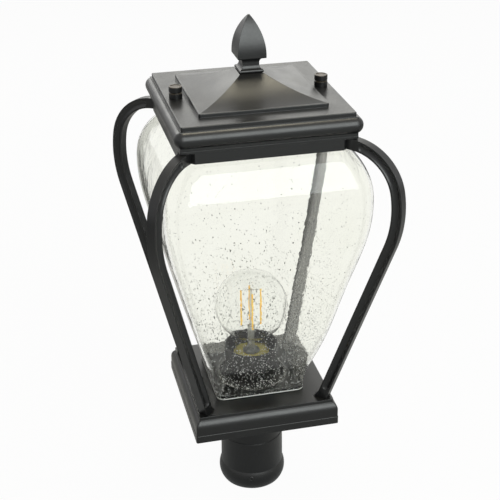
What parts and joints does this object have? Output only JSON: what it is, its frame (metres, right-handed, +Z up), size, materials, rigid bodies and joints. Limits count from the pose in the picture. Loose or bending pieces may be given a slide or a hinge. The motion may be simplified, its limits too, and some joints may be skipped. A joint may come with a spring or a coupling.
{
  "type": "post top lantern",
  "caption": "Post top lantern: a seeded glass vase between bowed straps on a square base with a post fitter, under a lift-off roof held by thumb nuts, with a filament style bulb.",
  "frame": {"origin": "centre of the fitter's mouth, where it slides on to the post", "axes": "+Z up along the post's axis, the front face of the base towards -Y"},
  "size_m": [0.3024, 0.3024, 0.6524],
  "materials": {
    "powder_coat": "satin black powder coat with a fine grain",
    "black_steel": "black oxide",
    "zinc_steel": "bright zinc plate",
    "brass": "plain brass",
    "seeded_glass": "clear glass full of small bubbles",
    "gasket_rubber": "pale soft silicone rubber",
    "porcelain": "white glazed porcelain",
    "clear_glass": "thin clear blown glass",
    "nickel": "bright thin metal",
    "black_insulator": "black glass insulator",
    "solder": "dull solder",
    "filament": "yellow phosphor over the light strips"
  },
  "bodies": {
    "root": {"base_casting": "powder_coat", "base_cover": "powder_coat", "base_cover_screws": "zinc_steel", "fitter_bolts": "zinc_steel", "ground_screw": "brass", "lampholder_body": "porcelain", "lampholder_contact": "brass", "lampholder_nipple": "zinc_steel", "lampholder_shell": "brass", "neck_gasket": "gasket_rubber", "nipple_nut": "zinc_steel", "post_fitter": "powder_coat", "roof_studs": "zinc_steel", "shade_gasket": "gasket_rubber", "shade_glass": "seeded_glass", "socket_cup": "powder_coat", "strap_back_left": "powder_coat", "strap_back_right": "powder_coat", "strap_foot_screws": "zinc_steel", "strap_front_left": "powder_coat", "strap_front_right": "powder_coat", "strap_top_screws": "zinc_steel", "stud_jam_nuts": "zinc_steel", "top_frame": "powder_coat"},
    "roof": {"roof_cap": "powder_coat", "finial": "powder_coat", "finial_screw": "zinc_steel"},
    "left_thumb_nut": {"thumb_nut_left": "powder_coat"},
    "right_thumb_nut": {"thumb_nut_right": "powder_coat"},
    "bulb": {"bulb_globe": "clear_glass", "bulb_collar": "brass", "bulb_cap": "nickel", "bulb_insulator": "black_insulator", "bulb_contact": "solder", "bulb_stem": "clear_glass", "bulb_filaments": "filament", "bulb_filament_wires": "nickel"},
    "front_set_screw": {"set_screw_front": "black_steel"},
    "right_set_screw": {"set_screw_right": "black_steel"},
    "left_set_screw": {"set_screw_left": "black_steel"}
  },
  "joints": [
    {"name": "roof_lift", "type": "slide", "parent": "root", "child": "roof", "axis": [0, 0, 1], "range_m": [0, 0.06]},
    {"name": "left_thumb_nut_turn", "type": "hinge", "parent": "roof", "child": "left_thumb_nut", "pos_m": [-0.08897, 0, 0.566], "axis": [0, 0, 1], "continuous": true},
    {"name": "right_thumb_nut_turn", "type": "hinge", "parent": "roof", "child": "right_thumb_nut", "pos_m": [0.08897, 0, 0.566], "axis": [0, 0, 1], "continuous": true},
    {"name": "bulb_turn", "type": "hinge", "parent": "root", "child": "bulb", "pos_m": [0, 0, 0.18], "axis": [0, 0, 1], "continuous": true},
    {"name": "front_set_screw_turn", "type": "hinge", "parent": "root", "child": "front_set_screw", "pos_m": [0, 0, 0.02], "axis": [-0.2419, -0.9703, 0], "continuous": true},
    {"name": "right_set_screw_turn", "type": "hinge", "parent": "root", "child": "right_set_screw", "pos_m": [0, 0, 0.02], "axis": [0.9613, 0.2756, 0], "continuous": true},
    {"name": "left_set_screw_turn", "type": "hinge", "parent": "root", "child": "left_set_screw", "pos_m": [0, 0, 0.02], "axis": [-0.7193, 0.6947, 0], "continuous": true}
  ]
}
